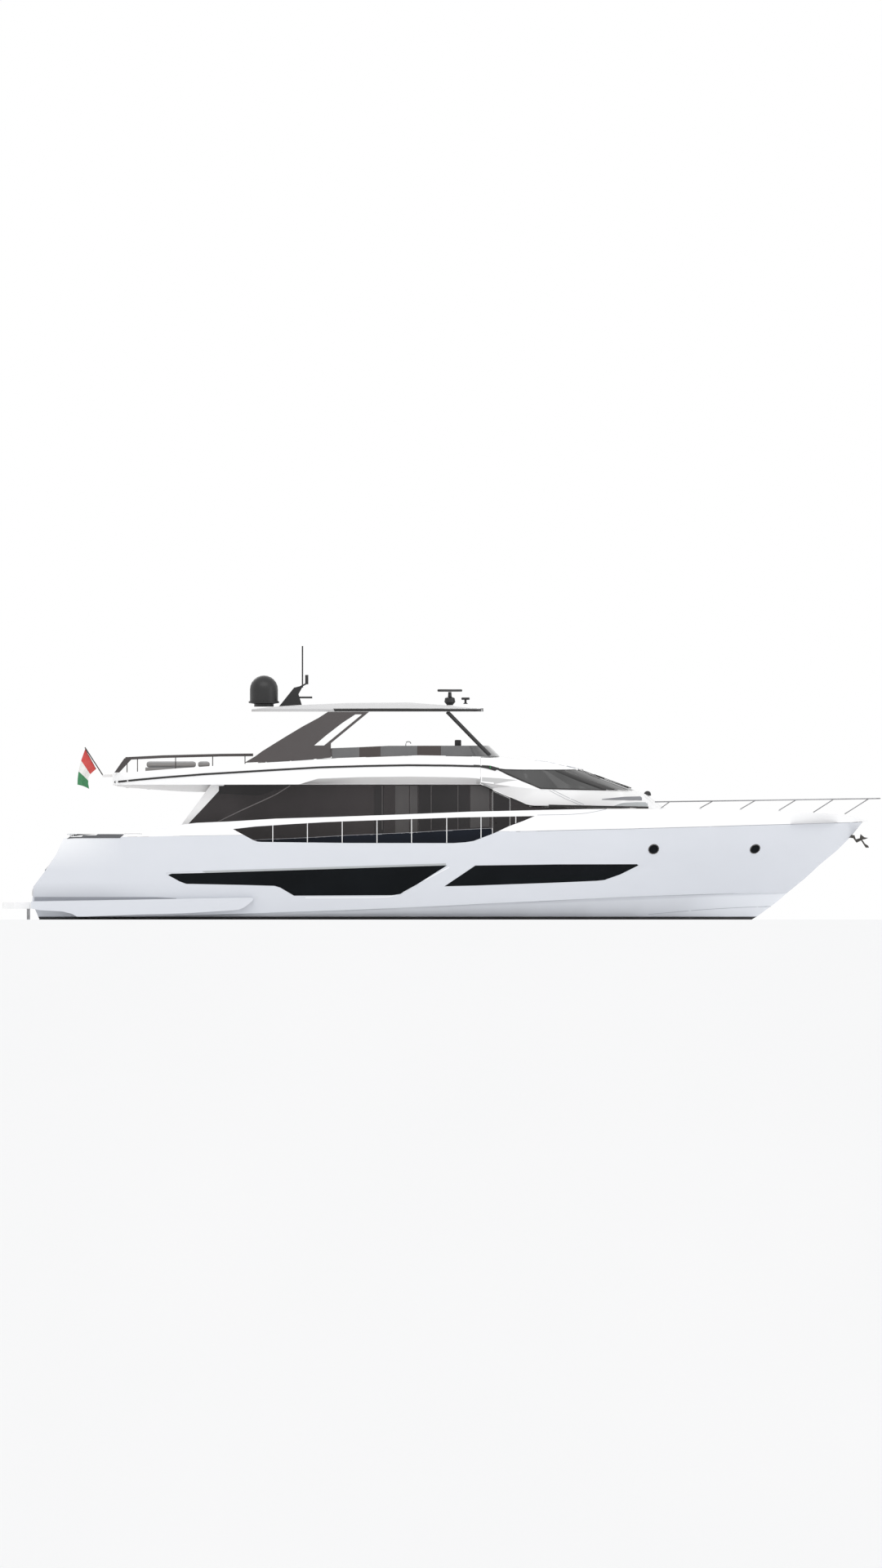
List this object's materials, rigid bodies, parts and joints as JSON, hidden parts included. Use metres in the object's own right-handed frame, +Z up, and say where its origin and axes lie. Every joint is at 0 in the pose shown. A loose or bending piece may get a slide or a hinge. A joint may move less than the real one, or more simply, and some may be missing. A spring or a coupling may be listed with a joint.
{
  "type": "motor yacht",
  "caption": "Flybridge motor yacht afloat, with lowering swim platform, garage door, opening doors, turning propellers, rudders and radar.",
  "frame": {"origin": "amidships on the centre line, in the plane of the waterline", "axes": "+X to the bow, +Y to port, +Z up"},
  "size_m": [26.882, 6.2556, 10.2248],
  "materials": {
    "antifouling": "matt black bottom paint",
    "bronze": "cast bronze",
    "cabinet_wood": "dark varnished wood",
    "cushion_fabric": "light outdoor fabric",
    "dark_glass": "dark tinted glass",
    "dark_paint": "dark bronze-grey satin paint",
    "engine_paint": "satin engine enamel",
    "flag_cloth": "woven flag cloth in three bands",
    "hull_paint": "pale blue-grey gloss topside paint",
    "stainless_steel": "polished stainless steel",
    "teak": "laid teak with dark seams",
    "white_gelcoat": "white gloss gelcoat"
  },
  "bodies": {
    "root": {"anchor": "stainless_steel", "arch_port": "dark_paint", "arch_starboard": "dark_paint", "bow_rail": "stainless_steel", "bulwarks": "white_gelcoat", "cockpit_sofa": "cushion_fabric", "cockpit_table": "teak", "deckhouse": "white_gelcoat", "engine_port": "engine_paint", "engine_starboard": "engine_paint", "ensign": "flag_cloth", "ensign_staff": "cabinet_wood", "fly_bar": "white_gelcoat", "fly_deck": "white_gelcoat", "fly_helm_console": "dark_paint", "fly_helm_seats": "cushion_fabric", "fly_rail": "dark_paint", "fly_sofa": "cushion_fabric", "fly_sunpad": "cushion_fabric", "fly_windshield": "dark_glass", "foredeck": "white_gelcoat", "foredeck_sunpad": "cushion_fabric", "forward_strut_port": "dark_paint", "forward_strut_starboard": "dark_paint", "galley_bulkhead": "cabinet_wood", "hardtop": "white_gelcoat", "helm_seats": "cushion_fabric", "hull": "hull_paint", "hull_glass_aft_port": "dark_glass", "hull_glass_aft_starboard": "dark_glass", "hull_glass_fore_port": "dark_glass", "hull_glass_fore_starboard": "dark_glass", "lower_helm": "dark_paint", "mast": "dark_paint", "radar_pedestal": "dark_paint", "saloon_bulkhead": "dark_glass", "saloon_sofa": "cushion_fabric", "satellite_dome": "dark_paint", "shaft_port": "stainless_steel", "shaft_starboard": "stainless_steel", "side_fairing_port": "hull_paint", "side_fairing_starboard": "hull_paint", "side_glass_port": "dark_glass", "side_glass_starboard": "dark_glass", "wheelhouse": "white_gelcoat", "windlass": "stainless_steel", "windscreen": "dark_glass"},
    "swim_platform": {"swim_platform": "teak"},
    "garage_door": {"garage_door": "hull_paint"},
    "saloon_door_port": {"saloon_door_port": "dark_glass"},
    "saloon_door_starboard": {"saloon_door_starboard": "dark_glass"},
    "side_door_port": {"side_door_port": "dark_glass"},
    "side_door_starboard": {"side_door_starboard": "dark_glass"},
    "locker_lid": {"locker_lid": "white_gelcoat"},
    "propeller_port": {"propeller_port": "bronze"},
    "propeller_starboard": {"propeller_starboard": "bronze"},
    "rudder_port": {"rudder_port": "antifouling"},
    "rudder_starboard": {"rudder_starboard": "antifouling"},
    "radar_scanner": {"radar_scanner": "dark_paint"}
  },
  "joints": [
    {"name": "propeller_port_spin", "type": "hinge", "parent": "root", "child": "propeller_port", "pos_m": [-11.25, 1.25, -1.33], "axis": [0.9781, 0, 0.2079], "continuous": true},
    {"name": "propeller_starboard_spin", "type": "hinge", "parent": "root", "child": "propeller_starboard", "pos_m": [-11.25, -1.25, -1.33], "axis": [0.9781, 0, 0.2079], "continuous": true},
    {"name": "rudder_starboard_steer", "type": "hinge", "parent": "root", "child": "rudder_starboard", "pos_m": [-12, -1.25, -0.48], "axis": [0, 0, 1], "range_deg": [-35, 35]},
    {"name": "rudder_port_steer", "type": "hinge", "parent": "root", "child": "rudder_port", "pos_m": [-12, 1.25, -0.48], "axis": [0, 0, 1], "range_deg": [-35, 35]},
    {"name": "radar_turn", "type": "hinge", "parent": "root", "child": "radar_scanner", "pos_m": [0.27, 0, 6.975], "axis": [0, 0, 1], "continuous": true},
    {"name": "swim_platform_lower", "type": "slide", "parent": "root", "child": "swim_platform", "axis": [0, 0, 1], "range_m": [-0.6, 0]},
    {"name": "garage_door_lift", "type": "hinge", "parent": "root", "child": "garage_door", "pos_m": [-11.9, 0, 1.818], "axis": [0, 1, 0], "range_deg": [0, 80]},
    {"name": "saloon_door_port_slide", "type": "slide", "parent": "root", "child": "saloon_door_port", "axis": [0, 1, 0], "range_m": [0, 0.95]},
    {"name": "saloon_door_starboard_slide", "type": "slide", "parent": "root", "child": "saloon_door_starboard", "axis": [0, -1, 0], "range_m": [0, 0.95]},
    {"name": "side_door_port_open", "type": "hinge", "parent": "root", "child": "side_door_port", "pos_m": [2.1, 2.384, 2.2], "axis": [0, 0, 1], "range_deg": [-70, 0]},
    {"name": "side_door_starboard_open", "type": "hinge", "parent": "root", "child": "side_door_starboard", "pos_m": [2.1, -2.384, 2.2], "axis": [0, 0, 1], "range_deg": [0, 70]},
    {"name": "locker_lid_lift", "type": "hinge", "parent": "root", "child": "locker_lid", "pos_m": [10.98, 0, 2.668], "axis": [0, -1, 0], "range_deg": [0, 75]}
  ],
  "couplings": [
    {"joint": "rudder_port_steer", "follows": "rudder_starboard_steer", "ratio": 1}
  ]
}
